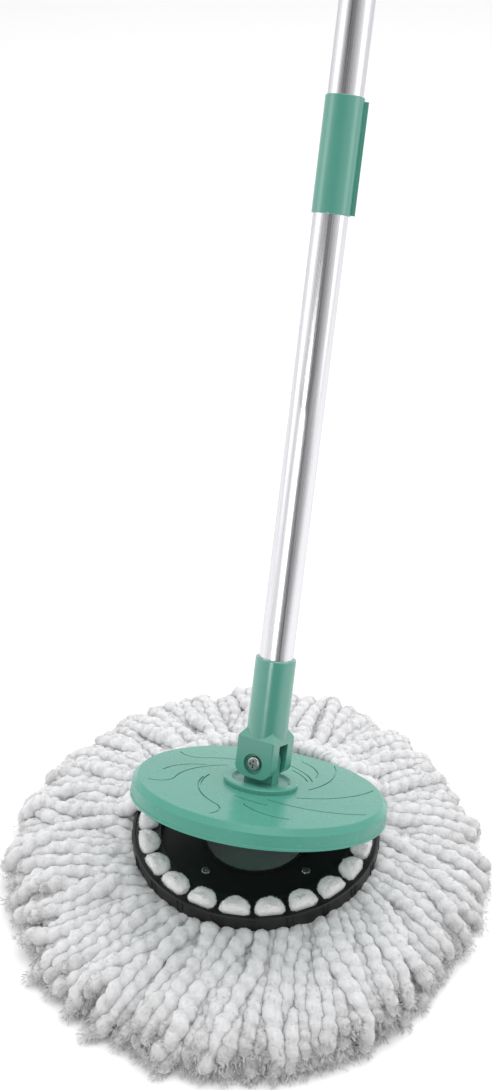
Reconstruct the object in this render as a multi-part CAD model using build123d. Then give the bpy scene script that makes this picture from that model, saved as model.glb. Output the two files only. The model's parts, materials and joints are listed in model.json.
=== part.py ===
"""Spin mop: a yarn refill on the floor, with the swivel disc and its sectional pole leaning on the refill.

Frame: millimetres, +Z up. The origin is on the floor, under the centre of the refill ring.
Everything above the refill is drawn upright, as it stands once the disc is pressed flat on the refill.
The dock hinge then swings it all back to its rest place: leaning, with the disc's rear edge on the ring.
"""
from build123d import *
from math import cos, radians, sin
import os

# ---- refill ring, a flat black dish that carries the yarn ----
ring_radius = 80.0
ring_bottom = 30.0            # height of the ring's underside above the floor
ring_wall = 1.8
lip_top = 10.6                # heights of the ring's own features are above its underside
annulus_top = 9.5
annulus_thickness = 2.2
dish_radius = 61.6
dish_floor = 2.3
centre_hole_radius = 32.3
centre_collar_top = 3.5
rib_width = 0.9               # the pairs of small ribs on the ring's outer wall
rib_spread = 1.3              # degrees from the middle of a pair to each rib

# ---- yarn ----
loop_count = 21
first_loop_angle = -100.5     # degrees from +X
loop_hole_radius = 7.8        # each hole is a circle with its outer side cut flat
loop_hole_centre = 73.0       # distance of that circle's centre from the ring's centre
loop_hole_flat = 76.2         # distance of the flat side from the ring's centre
loop_gap = 0.3
pad_radius = 165.0
pad_inner_radius = 50.3
pad_flat_radius = 150.0       # the part of the pad that lies flat on the floor

# ---- screws of the refill and of the disc ----
screw_circle = 45.0
screw_angles = (-135, -45, 45, 135)
screw_shank_radius = 1.6
screw_head_radius = 2.9
screw_head_height = 1.5
base_plate_thickness = 2.6

# ---- swivel disc; its heights are measured from its rim's top plane ----
disc_radius = 80.5
disc_depth = 12.6
disc_top = ring_bottom + 11.6 + disc_depth   # height of the rim's top plane once docked
disc_skin = 2.6
disc_crown = 0.6              # how far the middle stands above the rim
disc_edge_round = 3.6
rim_bead = 0.4                # the lower edge of the skirt stands out by this much
base_top = -9.2               # the plate that closes the disc from below
base_bottom = -11.4
snap_collar_radius = 29.5
snap_collar_wall = 3.0
snap_collar_bottom = -23.5
groove_width = 0.9
groove_floor = -0.4           # height of the swirl grooves' floor
s_wave_angles = (-136, 69, 117, 171)
long_wave_angles = (-56, -17, 21)
short_wave_angles = (-102, 36, 146)
hook_angles = (-116, 27, 84, 171)
bush_radius = 11.0
spigot_radius = 8.0
running_gap = 0.06

# ---- hub and yoke ----
flange_radius = 23.2
flange_bottom = 0.7
flange_top = 2.2              # the flange's middle, lower than its rim
flange_rim_top = 3.7
flange_rim_width = 4.7
washer_radius = 7.0
pivot_height = 15.6
tongue_radius = 10.0
tongue_thickness = 8.4
yoke_width = 26.0             # across the pole, in the direction it tilts
yoke_depth = 26.0             # along the pivot
yoke_bottom = 7.0
yoke_top = 31.5
yoke_shoulder = 7.5           # height of the sloped top, which runs up into the socket
shoulder_slope = 38.0         # degrees that the sloped top leans in from upright
slot_width = 10.0
slot_top = 28.5
yoke_corner = 8.0
pivot_radius = 2.5
counterbore_radius = 6.6
counterbore_depth = 2.6
pivot_head_radius = 4.7
pivot_head_height = 2.5
nut_depth = counterbore_depth + 1.4
nut_radius = 4.6
nut_height = 3.6
pivot_azimuth = 232.0         # the way the screw's head faces while the disc is docked

# ---- pole: three equal tubes with a twist sleeve at each joint ----
tube_radius = 10.6
tube_bore = 9.8
socket_radius = 12.7
socket_top = 81.5
socket_lip_round = 0.7
rivet_height = 60.0
rivet_radius = 2.0
rivet_head_radius = 3.4
tube_foot = 42.0              # the lower tube stands this high above the disc, inside the socket
tube_pitch = 337.0            # from one tube's foot to the next tube's foot
first_joint = 384.0           # where the lower and middle tubes meet
sleeve_below = 34.0           # how far a sleeve reaches below and above the tube joint
sleeve_above = 33.5
sleeve_radius = 11.7
sleeve_bore = 10.66
sleeve_rib_azimuth = -14.0
sleeve_rib_width = 1.8
sleeve_rib_reach = 2.4        # how far the rib stands out of the sleeve
sleeve_rib_gap = 2.0          # from the rib's top to the sleeve's top
plug_radius = 9.75
plug_bore = 7.5
plug_reach = 32.0
plug_collar = 0.8             # half the thickness of the collar that parts the two tubes
cap_radius = 12.0
cap_overlap = 34.0
cap_height = 36.0             # how far the cap stands beyond the tube
cap_tab_thickness = 12.0
hang_hole_radius = 5.0
hang_hole_height = 22.0       # centre of the hanging hole above the tube's end

# ---- the dock hinge: the line about which the disc swings between leaning and docked ----
dock_point = (21.9, 71.8, 100.1)
dock_azimuth = 161.33         # direction of the hinge line
dock_elevation = 11.16
dock_angle = 25.1             # from docked to the leaning rest place

dock_direction = (
    cos(radians(dock_elevation)) * cos(radians(dock_azimuth)),
    cos(radians(dock_elevation)) * sin(radians(dock_azimuth)),
    sin(radians(dock_elevation)),
)
dock_axis = Axis(dock_point, dock_direction)
second_joint = first_joint + tube_pitch
pole_top = second_joint + tube_pitch

BASE = (Align.CENTER, Align.CENTER, Align.MIN)


# ---- shared shapes ----
def turned(points):
    """A solid turned about Z from a closed outline of (radius, height) points."""
    return revolve(Plane.XZ * make_face(Polyline(*points, close=True)), Axis.Z)


def rod(radius, low, high):
    """An upright cylinder between two heights."""
    return Pos(0, 0, low) * Cylinder(radius, high - low, align=BASE)


def pipe(outer, inner, low, high):
    """An upright tube between two heights."""
    return rod(outer, low, high) - rod(inner, low - 1, high + 1)


def around(shape, radius, angles):
    """Copies of a shape drawn at the origin, set round a circle."""
    return [Rot(0, 0, angle) * Pos(radius, 0, 0) * shape for angle in angles]


def above_disc(shape):
    """Lift a shape drawn above the disc's rim plane to the docked disc."""
    return Pos(0, 0, disc_top) * shape


def lean(shape):
    """Swing a shape from its docked place to the leaning rest place."""
    return shape.rotate(dock_axis, dock_angle)


def along_pivot(shape):
    """Turn a shape drawn along +Y so that it lies along the yoke's pivot, head towards its azimuth."""
    return Rot(0, 0, pivot_azimuth - 90) * shape


def pan_screw(head_radius, head_height, shank_radius, length):
    """An upright screw: a domed head above Z = 0, with a cross recess, and its shank below."""
    head = rod(head_radius, 0, head_height)
    head = fillet(head.edges().sort_by(Axis.Z)[-1], head_height * 0.6)
    recess_width = head_radius * 0.28
    recess = Box(head_radius * 1.1, recess_width, head_height * 0.5, align=BASE)
    recess += Box(recess_width, head_radius * 1.1, head_height * 0.5, align=BASE)
    return head - Pos(0, 0, head_height * 0.5 + 0.01) * recess + rod(shank_radius, -length, 0)


# ---- refill ----
def loop_outline(gap):
    """One yarn hole: a circle whose outer side is cut flat, shrunk by the gap."""
    circle = Pos(loop_hole_centre, 0) * Circle(loop_hole_radius - gap)
    cut_away = Pos(loop_hole_flat - gap, 0) * Rectangle(20, 40, align=(Align.MIN, Align.CENTER))
    return circle - cut_away


def loop_angles():
    return [first_loop_angle + 360 * index / loop_count for index in range(loop_count)]


def make_refill_ring():
    """A dish with a raised rim band, pierced by the yarn holes and by a wide centre hole."""
    z = ring_bottom
    band_bottom = annulus_top - annulus_thickness
    profile = [
        (centre_hole_radius, z),
        (centre_hole_radius, z + centre_collar_top),
        (centre_hole_radius + 2, z + centre_collar_top),
        (centre_hole_radius + 2, z + dish_floor),
        (dish_radius, z + dish_floor),
        (dish_radius, z + annulus_top + 0.3),
        (dish_radius + 2, z + annulus_top),
        (ring_radius - 2.4, z + annulus_top),
        (ring_radius - 1.8, z + lip_top),
        (ring_radius - 0.6, z + lip_top),
        (ring_radius, z + lip_top - 0.6),
        (ring_radius, z),
        (ring_radius - ring_wall, z),
        (ring_radius - ring_wall, z + band_bottom),
        (dish_radius + 2.2, z + band_bottom),
        (dish_radius + 2.2, z),
    ]
    ring = turned(profile)
    hole = Pos(0, 0, z + band_bottom - 1) * extrude(loop_outline(0), annulus_thickness + 3)
    for angle in loop_angles():
        ring -= Rot(0, 0, angle) * hole
    for screw_hole in around(rod(screw_shank_radius, z - 1, z + 5), screw_circle, screw_angles):
        ring -= screw_hole
    rib = Pos(ring_radius, 0, z + 0.6) * Box(rib_width, rib_width, lip_top - 2.4, align=BASE)
    half_pitch = 180 / loop_count
    for angle in loop_angles():
        for side in (-rib_spread, rib_spread):
            ring += Rot(0, 0, angle + half_pitch + side) * rib
    return ring


def make_refill_base_plate():
    low = ring_bottom - base_plate_thickness
    plate = pipe(pad_inner_radius - 0.7, centre_hole_radius + 1.2, low, ring_bottom)
    drill = rod(screw_shank_radius, low - 1, ring_bottom + 1)
    for hole in around(drill, screw_circle, screw_angles):
        plate -= hole
    return plate


def make_refill_screws():
    """Four screws put in from the dish, through the ring and into the base plate."""
    length = dish_floor + base_plate_thickness
    screw = Pos(0, 0, ring_bottom + dish_floor) * pan_screw(
        screw_head_radius, screw_head_height, screw_shank_radius, length
    )
    return Compound(around(screw, screw_circle, screw_angles))


def make_yarn_retaining_ring():
    """The hidden flat ring inside the rim band that the yarn is looped round."""
    return pipe(loop_hole_flat, dish_radius + 4, ring_bottom + 0.6, ring_bottom + 3.0)


def make_yarn_loops():
    """The yarn that fills each hole, flush with the band."""
    low = ring_bottom + 3.2
    loop = Pos(0, 0, low) * extrude(loop_outline(loop_gap), ring_bottom + annulus_top - low)
    return Compound([Rot(0, 0, angle) * loop for angle in loop_angles()])


def make_yarn_pad():
    """The yarn as it lies: a low round cushion with an open middle, flat on the floor."""
    return turned([
        (pad_inner_radius, 0),
        (pad_flat_radius, 0),
        (pad_radius - 4, 4),
        (pad_radius, 12),
        (pad_radius - 5, 19),
        (pad_radius - 25, 25),
        (ring_radius + 20, 31),
        (ring_radius + 1.4, 33),
        (ring_radius + 1.4, ring_bottom - 0.4),
        (pad_inner_radius, ring_bottom - 0.4),
    ])


# ---- swivel disc ----
def on_disc(radius, angle):
    """A point on the disc's top, from its distance to the hub and its angle."""
    return (radius * cos(radians(angle)), radius * sin(radians(angle)))


def s_wave(angle):
    """A line that curls out from the hub and turns back straight to the rim."""
    curl = ThreePointArc(on_disc(36, angle - 52), on_disc(45, angle - 18), on_disc(54, angle + 9))
    return curl + TangentArc(curl @ 1, on_disc(71, angle + 14), tangent=curl % 1)


def long_wave(angle):
    return ThreePointArc(on_disc(30, angle - 33), on_disc(52, angle), on_disc(73, angle + 20))


def short_wave(angle):
    return ThreePointArc(on_disc(43, angle - 9), on_disc(52, angle + 2), on_disc(62, angle + 21))


def hook(angle):
    return ThreePointArc(on_disc(33, angle - 9), on_disc(37, angle + 13), on_disc(40, angle + 25))


def swirl_grooves():
    """Narrow upright ribbons along the wave pattern, to be cut out of the disc's top."""
    lines = [s_wave(angle) for angle in s_wave_angles]
    lines += [long_wave(angle) for angle in long_wave_angles]
    lines += [short_wave(angle) for angle in short_wave_angles]
    lines += [hook(angle) for angle in hook_angles]
    return [Pos(0, 0, groove_floor) * extrude(trace(line, groove_width), 3) for line in lines]


def make_disc_cover():
    """The shallow green cap with its skirt, swirl, screw posts and the seat of the hub bush."""
    profile = [
        (bush_radius, disc_crown),
        (flange_radius + 3, disc_crown),
        (disc_radius - disc_edge_round, 0),
        (disc_radius - rim_bead, -disc_edge_round),
        (disc_radius - rim_bead, -disc_depth + 1.8),
        (disc_radius, -disc_depth + 1.5),
        (disc_radius, -disc_depth),
        (disc_radius - 2.2, -disc_depth),
        (disc_radius - 2.2, -disc_skin - 1.2),
        (disc_radius - 4.5, -disc_skin),
        (bush_radius + 3, -disc_skin),
        (bush_radius + 3, base_top),
        (bush_radius, base_top),
    ]
    cover = turned(profile)
    shoulder = cover.edges().filter_by(GeomType.CIRCLE).group_by(Axis.Z)[-2]
    cover = fillet(shoulder.sort_by(SortBy.RADIUS)[-1], 1.2)
    for post in around(rod(3.6, base_top, -disc_skin), screw_circle, screw_angles):
        cover += post
    drill = rod(screw_shank_radius, base_top - 1, -disc_skin - 0.6)
    for hole in around(drill, screw_circle, screw_angles):
        cover -= hole
    for groove in swirl_grooves():
        cover -= groove
    return above_disc(cover)


def make_disc_base():
    """The plate under the cover, with the round collar that drops into the refill's centre hole."""
    base = pipe(disc_radius - 3, bush_radius + 6, base_bottom, base_top)
    base += pipe(snap_collar_radius, snap_collar_radius - snap_collar_wall, snap_collar_bottom, base_bottom)
    drill = rod(screw_shank_radius, base_bottom - 1, base_top + 1)
    for hole in around(drill, screw_circle, screw_angles):
        base -= hole
    return above_disc(base)


def make_disc_screws():
    """Four screws put in from below, through the base into the cover's posts."""
    length = -disc_skin - 1 - base_bottom
    screw = Pos(0, 0, base_bottom) * Rot(180, 0, 0) * pan_screw(
        screw_head_radius, screw_head_height, screw_shank_radius, length
    )
    return above_disc(Compound(around(screw, screw_circle, screw_angles)))


def make_hub_bush():
    """The flanged plain bearing that the hub turns in."""
    bush = pipe(bush_radius, spigot_radius + running_gap, base_top, disc_crown)
    bush += pipe(bush_radius + 3, spigot_radius + running_gap, base_top - 1.4, base_top)
    return above_disc(bush)


# ---- hub ----
def make_swivel_hub():
    """The flange on the disc, the spigot in the bush and the tongue that the yoke straddles."""
    rim_inside = flange_radius - flange_rim_width
    flange = turned([
        (0, flange_bottom),
        (flange_radius, flange_bottom),
        (flange_radius, flange_rim_top - 0.7),
        (flange_radius - 0.7, flange_rim_top),
        (rim_inside, flange_rim_top),
        (rim_inside - 1.5, flange_top),
        (0, flange_top),
    ])
    spigot = rod(spigot_radius, -14.5, flange_bottom)
    spigot -= pipe(spigot_radius + 1, spigot_radius - 1, -13.2, -12.2)
    width = 2 * tongue_radius
    tongue = Box(width, tongue_thickness, pivot_height - flange_top + 0.1, align=BASE)
    tongue = Pos(0, 0, flange_top - 0.1) * tongue
    tongue += Pos(0, 0, pivot_height) * Rot(90, 0, 0) * Cylinder(tongue_radius, tongue_thickness)
    tongue -= Pos(0, 0, pivot_height) * Rot(90, 0, 0) * Cylinder(pivot_radius + running_gap, width)
    return above_disc(flange + spigot + along_pivot(tongue))


def make_hub_washer():
    return above_disc(pipe(bush_radius + 3, spigot_radius + 0.1, -12.1, base_top - 1.5))


def make_hub_clip():
    """The open retaining ring that snaps into the spigot's groove."""
    clip = pipe(spigot_radius + 2.2, spigot_radius - 1, -13.1, -12.3)
    clip -= Pos(spigot_radius, 0, -12.7) * Box(8, 6, 4)
    return above_disc(clip)


# ---- yoke ----
def make_yoke_socket():
    """The forked block that straddles the tongue, and the socket that holds the lower tube."""
    height = yoke_top - yoke_bottom
    block = Pos(0, 0, yoke_bottom) * Box(yoke_width, yoke_depth, height, align=BASE)
    block = fillet(block.edges().filter_by(Axis.Z), 1.2)
    block += Pos(0, 0, yoke_top) * extrude(
        RectangleRounded(yoke_width, yoke_depth, 1.2), yoke_shoulder, taper=shoulder_slope
    )
    rounded = Box(yoke_width, yoke_depth, yoke_width, align=BASE)
    rounded = fillet(rounded.edges().filter_by(Axis.Y).group_by(Axis.Z)[0], yoke_corner)
    upper = Box(2 * yoke_width, 2 * yoke_depth, height, align=BASE)
    block &= Pos(0, 0, yoke_bottom) * (rounded + Pos(0, 0, yoke_corner) * upper)
    block -= Pos(0, 0, yoke_bottom - 1) * Box(
        yoke_width + 2, slot_width, slot_top - yoke_bottom + 1, align=BASE
    )
    block -= pivot_hole(pivot_radius, -yoke_depth, yoke_depth)
    block -= pivot_hole(counterbore_radius, yoke_depth / 2 - counterbore_depth, yoke_depth)
    block -= pivot_hole(counterbore_radius, -yoke_depth, nut_depth - yoke_depth / 2)
    socket = rod(socket_radius, yoke_top - 3, socket_top)
    block += fillet(socket.edges().filter_by(GeomType.CIRCLE).sort_by(Axis.Z)[-1], socket_lip_round)
    block -= rod(tube_radius, tube_foot, socket_top + 1)
    block = along_pivot(block)
    block -= across_pole(rivet_radius, 0, 20, rivet_height, rivet_azimuth())
    return above_disc(block)


def pivot_hole(radius, low, high):
    """A cylinder on the pivot's line, between two places along +Y."""
    return Pos(0, low, pivot_height) * Rot(-90, 0, 0) * Cylinder(radius, high - low, align=BASE)


def rivet_azimuth():
    return pivot_azimuth - 150


def across_pole(radius, low, high, height, azimuth):
    """A cylinder across the pole, between two distances from the pole's centre line."""
    return Pos(0, 0, height) * Rot(0, 0, azimuth) * Rot(0, 90, 0) * rod(radius, low, high)


def make_yoke_washers():
    """Two thin washers, one each side of the tongue, fast to the ears."""
    thickness = (slot_width - tongue_thickness) / 2 - 0.1
    washer = pivot_hole(washer_radius, 0, thickness) - pivot_hole(pivot_radius, -1, thickness + 1)
    near = Pos(0, slot_width / 2 - thickness, 0) * washer
    far = Pos(0, -slot_width / 2, 0) * washer
    return above_disc(along_pivot(Compound([near, far])))


def make_pivot_screw():
    """The screw through both ears and the tongue; its domed head sits in the counterbore."""
    seat = yoke_depth / 2 - counterbore_depth
    length = seat + yoke_depth / 2 - 1
    screw = pan_screw(pivot_head_radius, pivot_head_height, pivot_radius, length)
    return above_disc(along_pivot(Pos(0, seat, pivot_height) * Rot(-90, 0, 0) * screw))


def make_pivot_nut():
    """The six-sided nut in the rear ear's pocket."""
    nut = extrude(RegularPolygon(nut_radius, 6), nut_height) - rod(pivot_radius, -1, nut_height + 1)
    seat = nut_depth - yoke_depth / 2
    return above_disc(along_pivot(Pos(0, seat, pivot_height) * Rot(90, 0, 0) * nut))


def make_socket_rivet():
    """The rivet that keeps the lower tube in the socket."""
    rivet = rod(rivet_radius, tube_bore - 0.8, socket_radius)
    rivet += rod(rivet_head_radius, socket_radius, socket_radius + 1)
    rivet = fillet(rivet.edges().sort_by(Axis.Z)[-1], 0.7)
    rivet = Pos(0, 0, rivet_height) * Rot(0, 0, rivet_azimuth()) * Rot(0, 90, 0) * rivet
    return above_disc(rivet)


# ---- pole ----
def make_tube(foot, end):
    return above_disc(pipe(tube_radius, tube_bore, foot, end))


def make_lower_tube():
    tube = pipe(tube_radius, tube_bore, tube_foot, first_joint - plug_collar)
    tube -= across_pole(rivet_radius, 0, 20, rivet_height, rivet_azimuth())
    return above_disc(tube)


def make_coupler_plug(joint_height):
    """The hollow plug that is fast in the tube below a joint and slides into the tube above it."""
    plug = rod(plug_radius, joint_height - plug_reach, joint_height + plug_reach)
    plug = chamfer(plug.faces().sort_by(Axis.Z)[-1].edges(), 0.8)
    plug += rod(tube_radius, joint_height - plug_collar, joint_height + plug_collar)
    plug -= rod(plug_bore, joint_height - plug_reach - 1, joint_height + plug_reach + 1)
    return above_disc(plug)


def make_lock_sleeve(joint_height):
    """The thin twist sleeve round a tube joint, with one raised rib along it."""
    low = joint_height - sleeve_below
    high = joint_height + sleeve_above
    sleeve = rod(sleeve_radius, low, high)
    sleeve = fillet(sleeve.edges().filter_by(GeomType.CIRCLE), 0.5)
    rib_height = high - sleeve_rib_gap - low - 0.5
    side_on = (Align.MIN, Align.CENTER, Align.MIN)
    rib = Box(sleeve_rib_reach + 0.5, sleeve_rib_width, rib_height, align=side_on)
    sleeve += Rot(0, 0, sleeve_rib_azimuth) * Pos(sleeve_radius - 0.5, 0, low + 0.5) * rib
    sleeve -= rod(sleeve_bore, low - 1, high + 1)
    return above_disc(sleeve)


def make_end_cap():
    """The cap over the pole's top, narrowed to a tab with a hole to hang the mop by."""
    low = pole_top - cap_overlap
    high = pole_top + cap_height
    cap = fillet(rod(cap_radius, low, high).edges().sort_by(Axis.Z)[-1], cap_radius - 0.4)
    waist = pole_top + 6
    for side in (-1, 1):
        cut = Box(4 * cap_radius, cap_radius, high, align=(Align.CENTER, Align.MIN, Align.MIN))
        cut = Pos(0, cap_tab_thickness / 2, waist) * cut
        cap -= Rot(0, 0, 90 + 90 * side) * cut
    hole = Rot(90, 0, 0) * Cylinder(hang_hole_radius, 4 * cap_radius)
    cap -= Pos(0, 0, pole_top + hang_hole_height) * hole
    cap -= rod(tube_radius, low - 1, pole_top)
    return above_disc(along_pivot(cap))


upright_nodes = {
    "disc_cover": make_disc_cover(),
    "disc_base": make_disc_base(),
    "disc_screws": make_disc_screws(),
    "hub_bush": make_hub_bush(),
    "swivel_hub": make_swivel_hub(),
    "hub_washer": make_hub_washer(),
    "hub_clip": make_hub_clip(),
    "yoke_socket": make_yoke_socket(),
    "yoke_washers": make_yoke_washers(),
    "pivot_screw": make_pivot_screw(),
    "pivot_nut": make_pivot_nut(),
    "socket_rivet": make_socket_rivet(),
    "lower_tube": make_lower_tube(),
    "lower_coupler_plug": make_coupler_plug(first_joint),
    "lower_lock_sleeve": make_lock_sleeve(first_joint),
    "middle_tube": make_tube(first_joint + plug_collar, second_joint - plug_collar),
    "upper_coupler_plug": make_coupler_plug(second_joint),
    "upper_lock_sleeve": make_lock_sleeve(second_joint),
    "upper_tube": make_tube(second_joint + plug_collar, pole_top),
    "end_cap": make_end_cap(),
}

nodes = {
    "refill_ring": make_refill_ring(),
    "refill_base_plate": make_refill_base_plate(),
    "refill_screws": make_refill_screws(),
    "yarn_retaining_ring": make_yarn_retaining_ring(),
    "yarn_loops": make_yarn_loops(),
    "yarn_pad": make_yarn_pad(),
}
for name, shape in upright_nodes.items():
    nodes[name] = lean(shape)

os.makedirs("parts", exist_ok=True)
for name, shape in nodes.items():
    export_step(shape, f"parts/{name}.step")
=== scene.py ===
import json
from math import cos, pi, radians, sin

import bpy
import numpy as np
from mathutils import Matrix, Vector, kdtree, noise


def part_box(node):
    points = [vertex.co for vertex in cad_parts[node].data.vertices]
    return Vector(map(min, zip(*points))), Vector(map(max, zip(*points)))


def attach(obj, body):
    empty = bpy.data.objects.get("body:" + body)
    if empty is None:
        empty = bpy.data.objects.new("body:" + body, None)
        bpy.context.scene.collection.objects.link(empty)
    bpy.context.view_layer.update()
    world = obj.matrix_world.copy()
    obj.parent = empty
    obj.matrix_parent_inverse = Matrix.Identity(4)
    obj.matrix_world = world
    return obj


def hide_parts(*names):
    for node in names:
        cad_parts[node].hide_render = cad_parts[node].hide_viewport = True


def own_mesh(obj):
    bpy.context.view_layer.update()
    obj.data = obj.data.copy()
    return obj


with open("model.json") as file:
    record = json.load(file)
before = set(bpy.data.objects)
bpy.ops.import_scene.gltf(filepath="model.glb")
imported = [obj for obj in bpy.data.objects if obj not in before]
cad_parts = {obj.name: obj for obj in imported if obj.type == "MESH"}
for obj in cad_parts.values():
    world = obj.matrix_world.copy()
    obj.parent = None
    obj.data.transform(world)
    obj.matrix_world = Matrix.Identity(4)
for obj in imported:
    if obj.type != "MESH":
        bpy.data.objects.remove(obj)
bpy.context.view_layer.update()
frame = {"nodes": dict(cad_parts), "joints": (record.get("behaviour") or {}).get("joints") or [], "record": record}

# ---- measures read from the frame, in metres ----
rim_wall = 0.0038             # from the retaining ring to the outside of the ring's wall
ring_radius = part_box("yarn_retaining_ring")[1].x + rim_wall
ring_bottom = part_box("refill_ring")[0].z
lip_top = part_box("refill_ring")[1].z
band_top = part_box("yarn_loops")[1].z
pad_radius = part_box("yarn_pad")[1].x
joints = {joint["name"]: joint for joint in frame["joints"]}
pole_way = Vector(joints["hub_spin"]["axis"]).normalized()

# ---- yarn, in metres ----
yarn_radius = 0.0043          # how close two yarns' middles come, halved
yarn_fullness = 1.25          # soft yarns press into each other by this much
link = 0.005                  # distance between the points of a yarn's path
bead_length = 0.0100          # chenille lumps follow each other at this pitch
settling_steps = 150
sink_per_step = 0.00035

layer_count = 4
yarns_per_layer = 64
root_depth = 0.014            # the layers start this far inside the ring's wall
filler_count = 70             # shorter yarns low down that close the gaps near the edge
filler_start = 0.108
crown_count = 96              # yarns that lie on top of the others
crown_height = 0.0460         # at the back, where the crown lies on the ring's lip
crown_drop = 0.017            # how much lower the crown is at the front
crown_scatter = 0.004
lip_overlap = 0.0080          # the crown starts this far inside the wall where it lies on the lip
clump_count = 38              # near the front the yarn ends gather in clumps, this many to a full turn
clump_pull = 0.55

# how far the yarn spreads past the CAD pad, and how that differs from side to side
extra_reach = 0.0040
less_on_the_right = 0.022
less_on_the_left = 0.008
more_at_the_back = 0.010
less_at_front_corners = 0.007

# sides around a yarn, step along it and number of pile hairs, where it shows and where it hardly shows
upper_yarn = (12, 0.0014, 1150)
lower_yarn = (8, 0.0022, 40)
pile_length = 0.0019
pile_width = 0.00016          # half of a hair's width, as for the other hairs
frayed_end_width = 0.00026
yarn_floor_gap = 0.0003
hair_floor_gap = 0.0004

loop_count = 21
loop_circle = 0.0713          # distance of the yarn loops from the ring's centre
first_loop_angle = radians(-100.5)
bight_rows = 22
bight_sides = 48
bight_half_width = 0.0094
bight_inner = 0.0086          # how far a bight reaches towards the ring's centre
bight_outer = 0.0047          # and away from it
bight_height = 0.0060
bight_hairs = 700
bight_pile_length = 0.0010
bight_pile_width = 0.00010

random = np.random.default_rng(7)


# ---- materials ----
class Nodes:
    """A short way to build a node material around one Principled shader."""

    def __init__(self, name):
        self.material = bpy.data.materials.new(name)
        self.material.use_nodes = True
        self.tree = self.material.node_tree
        self.shader = next(n for n in self.tree.nodes if n.type == "BSDF_PRINCIPLED")
        self.place = self.add("ShaderNodeTexCoord").outputs["Object"]

    def add(self, kind, **settings):
        node = self.tree.nodes.new(kind)
        for key, value in settings.items():
            setattr(node, key, value)
        return node

    def link(self, source, target):
        self.tree.links.new(source, target)

    def set(self, **sockets):
        for name, value in sockets.items():
            self.shader.inputs[name.replace("_", " ")].default_value = value

    def mapped(self, scale, turn=None):
        """The object's own coordinates, turned and scaled."""
        place = self.place
        if turn is not None:
            turned = self.add("ShaderNodeMapping")
            turned.inputs["Rotation"].default_value = turn
            self.link(place, turned.inputs["Vector"])
            place = turned.outputs["Vector"]
        mapping = self.add("ShaderNodeMapping")
        mapping.inputs["Scale"].default_value = scale
        self.link(place, mapping.inputs["Vector"])
        return mapping.outputs["Vector"]

    def noise(self, scale, detail=3.0, roughness=0.5, vector=None):
        node = self.add("ShaderNodeTexNoise")
        node.inputs["Scale"].default_value = scale
        node.inputs["Detail"].default_value = detail
        node.inputs["Roughness"].default_value = roughness
        self.link(vector or self.place, node.inputs["Vector"])
        return node.outputs["Fac"]

    def spread(self, value, low, high, from_low=0.3, from_high=0.7):
        """A value stretched so that from_low..from_high becomes low..high."""
        node = self.add("ShaderNodeMapRange")
        node.inputs["From Min"].default_value = from_low
        node.inputs["From Max"].default_value = from_high
        node.inputs["To Min"].default_value = low
        node.inputs["To Max"].default_value = high
        self.link(value, node.inputs["Value"])
        return node.outputs["Result"]

    def blend(self, factor, first, second):
        node = self.add("ShaderNodeMix", data_type="RGBA")
        self.link(factor, node.inputs["Factor"])
        for socket, colour in ((node.inputs["A"], first), (node.inputs["B"], second)):
            if isinstance(colour, tuple):
                socket.default_value = (*colour, 1)
            else:
                self.link(colour, socket)
        return node.outputs["Result"]

    def bump(self, height, distance, strength=1.0, under=None):
        node = self.add("ShaderNodeBump")
        node.inputs["Distance"].default_value = distance
        node.inputs["Strength"].default_value = strength
        self.link(height, node.inputs["Height"])
        if under is not None:
            self.link(under, node.inputs["Normal"])
        return node.outputs["Normal"]

    def finish(self, colour=None, roughness=None, normal=None):
        for value, socket in ((colour, "Base Color"), (roughness, "Roughness"), (normal, "Normal")):
            if value is not None:
                self.link(value, self.shader.inputs[socket])
        return self.material


def moulded_plastic(name, light, dark, smooth, rough, gloss=0.5):
    """Injection-moulded plastic: slightly cloudy colour, patches of gloss and a faint unevenness."""
    nodes = Nodes(name)
    colour = nodes.blend(nodes.spread(nodes.noise(38, 4), 0, 1), dark, light)
    roughness = nodes.spread(nodes.noise(160, 5, 0.65), smooth, rough)
    waves = nodes.bump(nodes.noise(45, 2), 0.00012)
    nodes.set(IOR=1.54, Specular_IOR_Level=gloss)
    return nodes.finish(colour, roughness, waves)


def drawn_tube(name):
    """Anodised drawn aluminium, with fine streaks along the pole."""
    nodes = Nodes(name)
    turn = pole_way.rotation_difference(Vector((0, 0, 1))).to_euler()
    streaks = nodes.noise(1, 4, 0.6, nodes.mapped((2600, 2600, 9), turn))
    patches = nodes.noise(30, 3)
    tone = nodes.spread(streaks, 0.0, 1.0)
    colour = nodes.blend(tone, (0.70, 0.695, 0.725), (0.80, 0.795, 0.82))
    roughness = nodes.spread(streaks, 0.22, 0.34)
    normal = nodes.bump(streaks, 0.000005, under=nodes.bump(patches, 0.00004))
    nodes.set(Metallic=1.0, Anisotropic=0.45, Specular_Tint=(0.80, 0.80, 0.82, 1))
    return nodes.finish(colour, roughness, normal)


def fastener_steel(name):
    """Plated steel with small wear marks."""
    nodes = Nodes(name)
    marks = nodes.noise(900, 5, 0.7)
    colour = nodes.blend(nodes.spread(marks, 0, 1), (0.30, 0.30, 0.30), (0.46, 0.45, 0.43))
    roughness = nodes.spread(marks, 0.34, 0.18)
    nodes.set(Metallic=1.0)
    return nodes.finish(colour, roughness, nodes.bump(marks, 0.00001))


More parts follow.
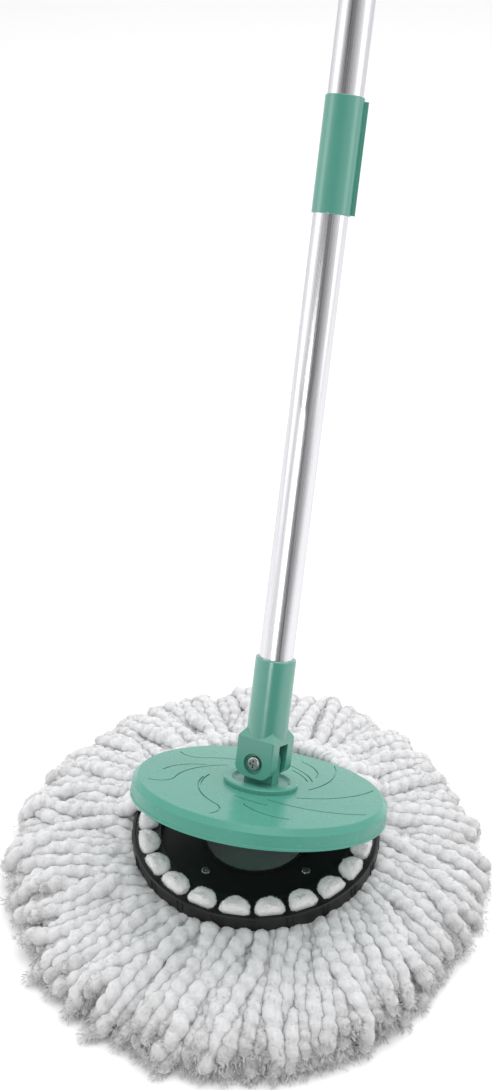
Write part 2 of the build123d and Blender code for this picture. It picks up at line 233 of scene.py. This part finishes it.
def chenille(name, hollow, fluff):
    """White microfibre: matt, with a pale sheen, fine pile and painted shade that darkens the creases between the
    lumps.
    """
    nodes = Nodes(name)
    pile = nodes.noise(1500, 3, 0.75)
    tufts = nodes.noise(420, 3, 0.6)
    crease = nodes.add("ShaderNodeAttribute", attribute_name="crease").outputs["Fac"]
    grey_end = nodes.add("ShaderNodeAttribute", attribute_name="grey_end").outputs["Fac"]
    white = nodes.blend(nodes.spread(tufts, 0, 1), hollow, fluff)
    # painted shade: where the crease attribute is high, the white is pulled towards 0.86 of the hollow tone
    crease_shaded = nodes.blend(crease, white, tuple(0.86 * tone for tone in hollow))
    # the colour turns greyer towards the free end of each yarn and on its frayed hairs
    colour = nodes.blend(grey_end, crease_shaded, (0.50, 0.485, 0.48))
    soft = nodes.bump(tufts, 0.0010, 0.6)
    nodes.set(Roughness=0.95, Sheen_Weight=0.3, Sheen_Roughness=0.6, Specular_IOR_Level=0.12)
    nodes.set(Subsurface_Weight=0.5, Subsurface_Scale=0.005, Subsurface_Radius=(1.0, 1.0, 1.0))
    return nodes.finish(colour, None, nodes.bump(pile, 0.0005, 0.7, under=soft))


green_tones = ((0.078, 0.298, 0.230), (0.073, 0.284, 0.218))
black_tones = ((0.0095, 0.0095, 0.0098), (0.0075, 0.0075, 0.0078))
green = moulded_plastic("aqua_green_plastic", *green_tones, 0.25, 0.28, 0.24)
polished_green = moulded_plastic("polished_green_plastic", *green_tones, 0.20, 0.23, 0.90)
black = moulded_plastic("black_plastic", *black_tones, 0.34, 0.50, 0.36)
pale = moulded_plastic("pale_bearing_plastic", (0.72, 0.71, 0.67), (0.66, 0.65, 0.61), 0.35, 0.50)
tube = drawn_tube("anodised_tube")
steel = fastener_steel("plated_steel")
yarn = chenille("white_chenille", (0.67, 0.672, 0.685), (0.78, 0.78, 0.79))
# painted light: the bights get their own copy of the white yarn, much lighter than the tufts' copy to stand in for
# the light on them, and slightly warm to cancel the green light thrown back from the disc
bight_yarn_painted_lighter = chenille("white_chenille_bights_painted_lighter", (0.88, 0.865, 0.875), (0.96, 0.945, 0.95))
polished_nodes = ("lower_lock_sleeve", "upper_lock_sleeve", "yoke_socket")
slot_materials = {
    "green_plastic": green,
    "black_plastic": black,
    "pale_plastic": pale,
    "aluminium_tube": tube,
    "steel_fastener": steel,
    "white_yarn": yarn,
}


def finish_cad_nodes():
    """Every CAD node gets the node material of its slot in the record, polished on the pole's parts."""
    for part in frame["record"]["subparts"]:
        node = frame["nodes"][part["node"]]
        material = slot_materials[part["material_slot"]]
        if part["node"] in polished_nodes:
            material = polished_green
        for slot in node.material_slots:
            slot.material = material


# ---- yarn paths ----
def reach_at(angle):
    """How far the yarn spreads in a direction: less to the sides and more at the back."""
    right = max(0.0, cos(angle)) ** 1.5
    left = max(0.0, -cos(angle)) ** 0.7
    back = max(0.0, sin(angle)) ** 2
    corners = max(0.0, -sin(angle)) * abs(cos(angle))
    sides = pad_radius + extra_reach - less_on_the_right * right - less_on_the_left * left
    return sides + more_at_the_back * back - less_at_front_corners * corners


def yarn_roots():
    """Where each yarn starts under the ring: its angle, height and reach, layer by layer."""
    yarns = []
    layer_step = (ring_bottom - 2.1 * yarn_radius) / (layer_count - 1)
    for layer in range(layer_count):
        for index in range(yarns_per_layer):
            share = (index + 0.5 * (layer % 2)) / yarns_per_layer
            angle = 2 * pi * share + random.normal(0, 0.012)
            height = yarn_radius + layer_step * layer
            reach = reach_at(angle) - yarn_radius - random.uniform(0, 0.012)
            yarns.append((layer, angle, height, reach))
    for index in range(filler_count):
        angle = 2 * pi * (index + random.uniform(-0.2, 0.2)) / filler_count
        yarns.append((-1, angle, yarn_radius, reach_at(angle) - yarn_radius - random.uniform(0, 0.006)))
    for index in range(crown_count):
        angle = 2 * pi * (index + random.uniform(-0.2, 0.2)) / crown_count
        back = min(1.0, max(0.0, 0.5 + 0.9 * sin(angle - 0.1)))
        height = crown_height - crown_drop * (1 - back) + crown_scatter * sin(41 * index) * (1 - back)
        yarns.append((layer_count, angle, height, reach_at(angle) - yarn_radius - random.uniform(0, 0.016)))
    return yarns


def drifted(angle, out):
    """The directions of a yarn's points: a lazy sideways drift, and ends that clump near the front."""
    drift = random.normal(0.05, 0.07) - 0.16 * (1 + cos(angle + 1.2)) + 0.05 * sin(3 * angle)
    if random.random() < 0.08:
        drift += random.choice((-1, 1)) * random.uniform(0.12, 0.26)
    wave = random.normal(0, 0.010) * np.sin(out * random.uniform(3, 6) + random.uniform(0, 6))
    turn = angle + drift * out ** 1.6 + wave
    front = min(1.0, max(0.0, 0.3 - sin(angle)))
    clump = 2 * pi / clump_count
    return turn + clump_pull * front * (np.round(turn / clump) * clump - turn) * out ** 2


def first_guess(layer, angle, height, reach):
    """A yarn laid outward and down from its root, before the yarns are settled."""
    reach -= 0.004 * max(0.0, -sin(angle)) * random.uniform(0, 1) ** 2
    crown = layer == layer_count
    over_lip = crown and height > lip_top + 0.002
    start = ring_radius - root_depth
    if layer < 0:
        start = filler_start
    if over_lip:
        start = ring_radius - lip_overlap
    count = int((reach - start) / link) + 2 + (layer > 1) + crown
    out = np.arange(count) / (count - 1)
    turn = drifted(angle, out)
    radius = start + out * (reach - start)
    edge = 0.006 + 0.004 * max(layer, 0)
    level = height + (edge - height) * np.clip(out - 0.15, 0, 1) ** 1.5
    if crown and not over_lip:
        rise = 0.008 - 0.005 * min(1.0, max(0.0, (height - 0.031) / 0.010))
        climb = np.clip((radius - ring_radius) / rise, 0, 1)
        level = climb * level + (1 - climb) * (ring_bottom - yarn_radius)
    return np.stack([radius * np.cos(turn), radius * np.sin(turn), level], 1)


def near_pairs(points, strand, reach):
    """Pairs of points of different yarns that are closer than reach."""
    tree = kdtree.KDTree(len(points))
    for index, point in enumerate(points):
        tree.insert(point, index)
    tree.balance()
    pairs = []
    for index, point in enumerate(points):
        for _, other, _ in tree.find_range(point, reach):
            if other > index and strand[other] != strand[index]:
                pairs.append((index, other))
    return np.array(pairs)


def keep_out(points):
    """The yarns lie on the floor, under the ring and beside its wall."""
    points[:, 2] = np.maximum(points[:, 2], yarn_radius * 0.92)
    radius = np.hypot(points[:, 0], points[:, 1])
    under = (radius < ring_radius) & (points[:, 2] < lip_top)
    points[under, 2] = np.minimum(points[under, 2], ring_bottom - yarn_radius)
    wall = ring_radius + yarn_radius
    high = (points[:, 2] > ring_bottom - yarn_radius * 0.6) & (points[:, 2] < lip_top + yarn_radius * 0.6)
    beside = (radius >= ring_radius) & (radius < wall) & high
    points[beside, :2] *= (wall / radius[beside])[:, None]


def hold_length(points, here):
    """Keeps the neighbouring points of a yarn one link apart."""
    gap = points[here + 1] - points[here]
    length = np.linalg.norm(gap, axis=1)[:, None]
    push = gap * (length - link) / length * 0.45
    np.add.at(points, here, push)
    np.add.at(points, here + 1, -push)


def push_apart(points, pairs, thickness):
    """Moves points of different yarns apart until they are a thickness away from each other."""
    gap = points[pairs[:, 1]] - points[pairs[:, 0]]
    length = np.maximum(np.linalg.norm(gap, axis=1), 1e-6)
    push = gap * (np.clip(thickness - length, 0, None) / length * 0.35)[:, None]
    np.add.at(points, pairs[:, 1], push)
    np.add.at(points, pairs[:, 0], -push)


def settle(paths, steps):
    """Lets the yarns sink onto each other: each keeps its length and its thickness, and bends softly."""
    strand = np.concatenate([np.full(len(path), index) for index, path in enumerate(paths)])
    points = np.concatenate(paths)
    here = np.nonzero(strand[:-1] == strand[1:])[0]
    middle = here[:-1][np.diff(here) == 1] + 1
    first = np.concatenate([[True], strand[1:] != strand[:-1]])
    pinned = first | np.concatenate([[False], first[:-1]])
    anchors = points[pinned].copy()
    thickness = 2 * yarn_radius * 0.90
    for step in range(steps):
        if step % 5 == 0:
            pairs = near_pairs(points, strand, thickness * 1.3)
        points[:, 2] -= sink_per_step
        for _ in range(2):
            hold_length(points, here)
            bend = (points[middle - 1] + points[middle + 1]) / 2 - points[middle]
            points[middle] += bend * 0.25
            push_apart(points, pairs, thickness)
            points[pinned] = anchors
            keep_out(points)
    return [points[strand == index] for index in range(len(paths))]


def smooth_path(points, step):
    """The path resampled at even steps along a Catmull-Rom curve."""
    ends = np.concatenate([[2 * points[0] - points[1]], points, [2 * points[-1] - points[-2]]])
    fine = []
    share = np.linspace(0, 1, 8, endpoint=False)[:, None]
    for a, b, c, d in zip(ends[:-3], ends[1:-2], ends[2:-1], ends[3:]):
        curve = 2 * b + (c - a) * share + (2 * a - 5 * b + 4 * c - d) * share ** 2
        fine.append(0.5 * (curve + (3 * b - a - 3 * c + d) * share ** 3))
    fine = np.concatenate(fine + [points[-1:]])
    along = np.concatenate([[0], np.cumsum(np.linalg.norm(np.diff(fine, axis=0), axis=1))])
    even = np.linspace(0, along[-1], max(4, int(along[-1] / step)))
    return np.stack([np.interp(even, along, fine[:, axis]) for axis in range(3)], 1), even


def frames_along(path):
    """Two side directions at each point of a path, carried along without twisting."""
    way = np.gradient(path, axis=0)
    way /= np.linalg.norm(way, axis=1)[:, None]
    side = np.cross(way[0], (0, 0, 1.0))
    if np.linalg.norm(side) < 1e-3:
        side = np.cross(way[0], (1.0, 0, 0))
    sides = []
    for direction in way:
        side = side - direction * side.dot(direction)
        side /= np.linalg.norm(side)
        sides.append(side)
    sides = np.array(sides)
    return way, sides, np.cross(way, sides)


# ---- yarn meshes ----
class Surface:
    """Collects points and faces, with the values that the yarn's material reads: the painted shade in the creases
    and how much greyer the yarn is near its free end.
    """

    def __init__(self):
        self.points, self.faces, self.crease, self.grey_end = [], [], [], []
        self.count = 0

    def add(self, points, faces, crease, grey_end):
        self.points.append(points)
        self.faces.extend((np.asarray(faces) + self.count).tolist())
        self.crease.append(np.broadcast_to(crease, len(points)))
        self.grey_end.append(np.broadcast_to(grey_end, len(points)))
        self.count += len(points)

    def build(self, name, material):
        mesh = bpy.data.meshes.new(name)
        mesh.from_pydata(np.concatenate(self.points).tolist(), [], self.faces)
        for label, values in (("crease", self.crease), ("grey_end", self.grey_end)):
            layer = mesh.attributes.new(label, "FLOAT", "POINT")
            layer.data.foreach_set("value", np.concatenate(values).astype(np.float32))
        mesh.polygons.foreach_set("use_smooth", [True] * len(mesh.polygons))
        mesh.materials.append(material)
        piece = bpy.data.objects.new(name, mesh)
        bpy.context.scene.collection.objects.link(piece)
        return piece


def beads(along, angle, pitch):
    """How full the yarn is, 0 in a crease to 1 on a lump; the crease winds round the yarn like a twist."""
    phase = along / pitch + angle / (2 * pi) + 0.10 * np.sin(along / 0.031 + pitch * 9000)
    return np.abs(np.sin(pi * phase)) ** 0.7


def rope_spokes(along, angle, radius):
    """The yarn's radius at each step and angle, and how full it is there."""
    pitch = bead_length * random.uniform(0.86, 1.16)
    full = beads(along[:, None], angle[None, :] + random.uniform(0, 6), pitch)
    lump = random.normal(1, 0.075, int(along[-1] / bead_length) + 3)
    size = np.interp(along / bead_length, np.arange(len(lump)), lump)[:, None]
    ends = np.clip(np.minimum(along, (along[-1] - along) * 0.5) / (radius * 0.9), 0, 1)
    closing = np.sqrt(1 - (1 - ends) ** 2).clip(0.12)[:, None]
    grain = random.normal(0, 0.055, (len(along), len(angle)))
    grain = (grain + np.roll(grain, 1, 0) + np.roll(grain, 1, 1)) * 0.6
    return radius * (0.80 + 0.27 * full) * size * closing * (1 + grain), full


def add_rope(surface, points, radius, sides, step, grey_end_length):
    """A chenille yarn along a path: lumpy, closed at both ends, tapered and greyer at the free one."""
    path, along = smooth_path(points, step)
    _, side, over = frames_along(path)
    angle = np.linspace(0, 2 * pi, sides, endpoint=False)
    spoke, full = rope_spokes(along, angle, radius)
    ring = path[:, None] + spoke[..., None] * (
        np.cos(angle)[None, :, None] * side[:, None] + np.sin(angle)[None, :, None] * over[:, None]
    )
    rows, columns = np.meshgrid(np.arange(len(path) - 1), np.arange(sides), indexing="ij")
    after = (columns + 1) % sides
    quads = np.stack([rows * sides + columns, rows * sides + after,
                      (rows + 1) * sides + after, (rows + 1) * sides + columns], -1).reshape(-1, 4)
    # painted shade: how deep the crease between the lumps is, which the material turns into darker colour
    crease = (1 - full).ravel() * 0.6
    # greyer over the last stretch of the yarn, 12 mm long at the back and up to 30 mm at the front
    grey_end = np.repeat(np.clip((along - along[-1] + grey_end_length) / grey_end_length, 0, 1) * 0.6, sides)
    points = ring.reshape(-1, 3)
    points[:, 2] = np.maximum(points[:, 2], yarn_floor_gap)
    surface.add(points, quads, crease, grey_end)
    for row, order in ((0, slice(None, None, -1)), (len(path) - 1, slice(None))):
        cap = (row * sides + np.arange(sides))[order]
        surface.faces.append((cap + surface.count - len(path) * sides).tolist())
    return path, spoke, side, over


def add_hairs(surface, roots, ways, length, width, grey_end):
    """Thin curved blades, one from each root, in the given directions."""
    count = len(roots)
    across = np.cross(ways, random.normal(0, 1, (count, 3)))
    across /= np.linalg.norm(across, axis=1)[:, None]
    length = length * random.uniform(0.6, 1.3, count)[:, None]
    sag = np.zeros((count, 3))
    sag[:, 2] = -0.25 * length[:, 0]
    middle = roots + ways * length * 0.55 + sag * 0.3
    tip = roots + ways * length + sag
    points = np.stack([roots - across * width, roots + across * width,
                       middle - across * width * 0.7, middle + across * width * 0.7, tip], 1)
    points[..., 2] = np.maximum(points[..., 2], hair_floor_gap)
    base = np.arange(count)[:, None] * 5
    surface.add(points.reshape(-1, 3), base + np.array([0, 1, 3, 2]), 0.0, grey_end)
    surface.faces.extend((base + np.array([2, 3, 4]) + surface.count - 5 * count).tolist())


def add_fuzz(surface, path, spoke, side, over, amount):
    """Short pile standing off the yarn's upper side."""
    row = random.integers(2, len(path) - 1, amount)
    row = row[np.hypot(path[row, 0], path[row, 1]) > ring_radius + 0.009]
    amount = len(row)
    angle = random.uniform(0, 2 * pi, amount)
    out = np.cos(angle)[:, None] * side[row] + np.sin(angle)[:, None] * over[row]
    upper = out[:, 2] > -0.35
    row, out = row[upper], out[upper]
    roots = path[row] + out * spoke[row].mean(1)[:, None] * 0.93
    ways = out + random.normal(0, 0.45, out.shape)
    ways /= np.linalg.norm(ways, axis=1)[:, None]
    add_hairs(surface, roots, ways, pile_length, pile_width, 0.0)


def add_brush(surface, path, radius, amount, length):
    """The frayed cut end of a yarn."""
    way = path[-1] - path[-3]
    way /= np.linalg.norm(way)
    row = len(path) - 1 - random.integers(0, min(12, len(path)), amount)
    off = random.normal(0, 1, (amount, 3))
    off /= np.linalg.norm(off, axis=1)[:, None]
    roots = path[row] + off * radius * 0.75
    ways = 0.7 * way + off + random.normal(0, 0.35, (amount, 3))
    ways /= np.linalg.norm(ways, axis=1)[:, None]
    add_hairs(surface, roots, ways, length, frayed_end_width, random.uniform(0.15, 0.5))


def make_yarn_tufts():
    """The spread yarn, one piece for each hole of the ring."""
    roots = yarn_roots()
    steps = settling_steps
    paths = settle([first_guess(*root) for root in roots], steps)
    surfaces = [Surface() for _ in range(loop_count)]
    radius = yarn_radius * yarn_fullness
    for (layer, angle, _, _), points in zip(roots, paths):
        share = ((angle - first_loop_angle) / (2 * pi) + 0.5 / loop_count) % 1
        surface = surfaces[int(share * loop_count) % loop_count]
        front = 0.5 - 0.5 * sin(angle)
        sides, step, hairs = upper_yarn if layer > 0 else lower_yarn
        rope = add_rope(surface, points, radius, sides, step, 0.012 + 0.018 * front)
        add_fuzz(surface, *rope, hairs)
        add_brush(surface, rope[0], radius, int(40 + 460 * front ** 3), 0.0017 + 0.0018 * front)
    for index, surface in enumerate(surfaces):
        tuft = surface.build(f"yarn_tuft_{index + 1:02d}", yarn)
        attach(tuft, "refill")
        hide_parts("yarn_pad")
        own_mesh(tuft)


def bight_points(angle):
    """The points of a plump cushion, flatter on its outer side, before it is turned to its hole."""
    around = np.linspace(0, 2 * pi, bight_sides, endpoint=False)
    lift = np.linspace(0.02, 1.0, bight_rows)
    width = bight_half_width * random.uniform(0.94, 1.06)
    inner = bight_inner * random.uniform(0.92, 1.08)
    top = bight_height * random.uniform(0.88, 1.12)
    outer = np.cos(around) > 0
    along_radius = np.where(outer, bight_outer * np.abs(np.cos(around)) ** 0.45, inner * np.cos(around))
    across_radius = np.sign(np.sin(around)) * np.abs(np.sin(around)) ** np.where(outer, 0.8, 1.0) * width
    seam = random.uniform(-0.35, 0.35)
    points = []
    for share in lift:
        polar = share * radians(118)
        wide = sin(min(polar, pi / 2)) ** 0.8 * (1 if polar < pi / 2 else cos(polar - pi / 2) ** 0.6)
        high = cos(polar) * top
        out = along_radius * wide
        side = across_radius * wide
        x = loop_circle + out
        groove = 0.0006 * np.exp(-((side / width - seam) / 0.10) ** 2) * (out > -0.002)
        for u, v, w in zip(x, side, high - groove):
            spot = Vector((u, v, w)) + Vector((0, 0, angle))
            bulge = 0.0009 * noise.noise(spot * 210) + 0.0005 * noise.noise(spot * 800)
            away = Vector((u - loop_circle, v, w)).normalized() * bulge
            points.append((u + away.x, v + away.y, w + away.z + band_top))
    return np.array(points)


def make_bight(surface, angle):
    """One bight of yarn: the cushion turned to its hole, closed below and covered in short hairs."""
    rows, sides = bight_rows, bight_sides
    local = bight_points(angle)
    turned = np.stack([local[:, 0] * cos(angle) - local[:, 1] * sin(angle),
                       local[:, 0] * sin(angle) + local[:, 1] * cos(angle), local[:, 2]], 1)
    first = np.arange((rows - 1) * sides)
    after = first // sides * sides + (first + 1) % sides
    quads = np.stack([first, first + sides, after + sides, after], 1)
    surface.add(turned, quads, 0.0, 0.0)
    start = surface.count - rows * sides
    surface.faces.append((start + np.arange(sides)).tolist())
    surface.faces.append((start + (rows - 1) * sides + np.arange(sides)[::-1]).tolist())
    roots = turned[random.integers(0, (rows - 5) * sides, bight_hairs)]
    ways = roots - (loop_circle * cos(angle), loop_circle * sin(angle), band_top - 0.002)
    ways = ways / np.linalg.norm(ways, axis=1)[:, None] + random.normal(0, 0.5, ways.shape)
    ways /= np.linalg.norm(ways, axis=1)[:, None]
    add_hairs(surface, roots, ways, bight_pile_length, bight_pile_width, 0.0)


def make_yarn_loops():
    """The bights of yarn that bulge out of the ring's holes."""
    surface = Surface()
    for index in range(loop_count):
        make_bight(surface, first_loop_angle + 2 * pi * index / loop_count)
    loops = surface.build("yarn_bights", bight_yarn_painted_lighter)
    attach(loops, "refill")
    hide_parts("yarn_loops")
    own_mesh(loops)


# ---- stage ----
band_normal = (-0.637, -0.210, -0.743)    # the world's dark band lies across this direction
band_darkness = 0.96
camera_place = (-0.0063, -0.7191, 0.7275)
camera_down = 33.09                       # degrees below level


def make_floor():
    nodes = Nodes("pale_floor")
    colour = nodes.blend(nodes.noise(3, 2), (0.94, 0.94, 0.942), (0.96, 0.96, 0.96))
    nodes.set(Roughness=0.7)
    bpy.ops.mesh.primitive_plane_add(size=14)
    floor = bpy.context.object
    floor.name = "floor"
    floor.data.materials.append(nodes.finish(colour))


def add_softbox(name, place, target, width, height, watts):
    lamp = bpy.data.lights.new(name, "AREA")
    lamp.shape = "RECTANGLE"
    lamp.size = width
    lamp.size_y = height
    lamp.energy = watts
    holder = bpy.data.objects.new(name, lamp)
    holder.location = place
    holder.rotation_euler = (Vector(target) - Vector(place)).to_track_quat("-Z", "Y").to_euler()
    bpy.context.scene.collection.objects.link(holder)


def math(tree, operation, first, second):
    node = tree.nodes.new("ShaderNodeMath")
    node.operation = operation
    for socket, value in zip(node.inputs, (first, second)):
        if isinstance(value, (int, float)):
            socket.default_value = value
        else:
            tree.links.new(value, socket)
    return node.outputs[0]


def smooth(tree, value, low, high):
    """0 at low and 1 at high, with a soft change between them."""
    node = tree.nodes.new("ShaderNodeMapRange")
    node.interpolation_type = "SMOOTHSTEP"
    node.inputs["From Min"].default_value = low
    node.inputs["From Max"].default_value = high
    tree.links.new(value, node.inputs["Value"])
    return node.outputs["Result"]


def make_world():
    """White surroundings with one dark band on the near side, as of an unlit room behind the camera."""
    world = bpy.data.worlds.new("studio")
    world.use_nodes = True
    bpy.context.scene.world = world
    tree = world.node_tree
    way = tree.nodes.new("ShaderNodeTexCoord").outputs["Generated"]
    across = tree.nodes.new("ShaderNodeVectorMath")
    across.operation = "DOT_PRODUCT"
    across.inputs[1].default_value = band_normal
    tree.links.new(way, across.inputs[0])
    parts = tree.nodes.new("ShaderNodeSeparateXYZ")
    tree.links.new(way, parts.inputs[0])
    off_band = smooth(tree, math(tree, "ABSOLUTE", across.outputs["Value"], 0), 0.0, 0.80)
    behind = smooth(tree, math(tree, "MULTIPLY", parts.outputs["Y"], -1), 0.1, 0.7)
    dark = math(tree, "MULTIPLY", math(tree, "SUBTRACT", 1, off_band), behind)
    light = math(tree, "SUBTRACT", 1, math(tree, "MULTIPLY", dark, band_darkness))
    background = tree.nodes["Background"]
    background.inputs["Color"].default_value = (1, 1, 1, 1)
    tree.links.new(light, background.inputs["Strength"])


def make_lights():
    make_world()
    bpy.context.scene.view_settings.view_transform = "Standard"
    add_softbox("top_softbox", (0.4, 0.5, 2.2), (0, 0, 0.1), 1.8, 1.8, 21)
    add_softbox("left_softbox", (-1.8, 0.1, 1.0), (0, 0, 0.3), 0.8, 1.6, 4.2)
    add_softbox("right_softbox", (1.8, -0.3, 1.0), (0, 0, 0.3), 0.8, 1.6, 4.2)
    add_softbox("fill_softbox", (-0.75, -1.5, 0.75), (0, 0, 0.05), 0.5, 0.5, 6.5)


def make_camera():
    """One viewpoint in front of the mop, about a metre away and looking down."""
    camera = bpy.data.cameras.new("camera")
    camera.sensor_width = 36
    camera.lens = 49.7
    holder = bpy.data.objects.new("camera", camera)
    holder.location = camera_place
    holder.rotation_euler = (radians(90 - camera_down), 0, 0)
    bpy.context.scene.collection.objects.link(holder)
    bpy.context.scene.camera = holder


finish_cad_nodes()
make_camera()
make_yarn_tufts()
make_yarn_loops()
make_floor()
make_lights()
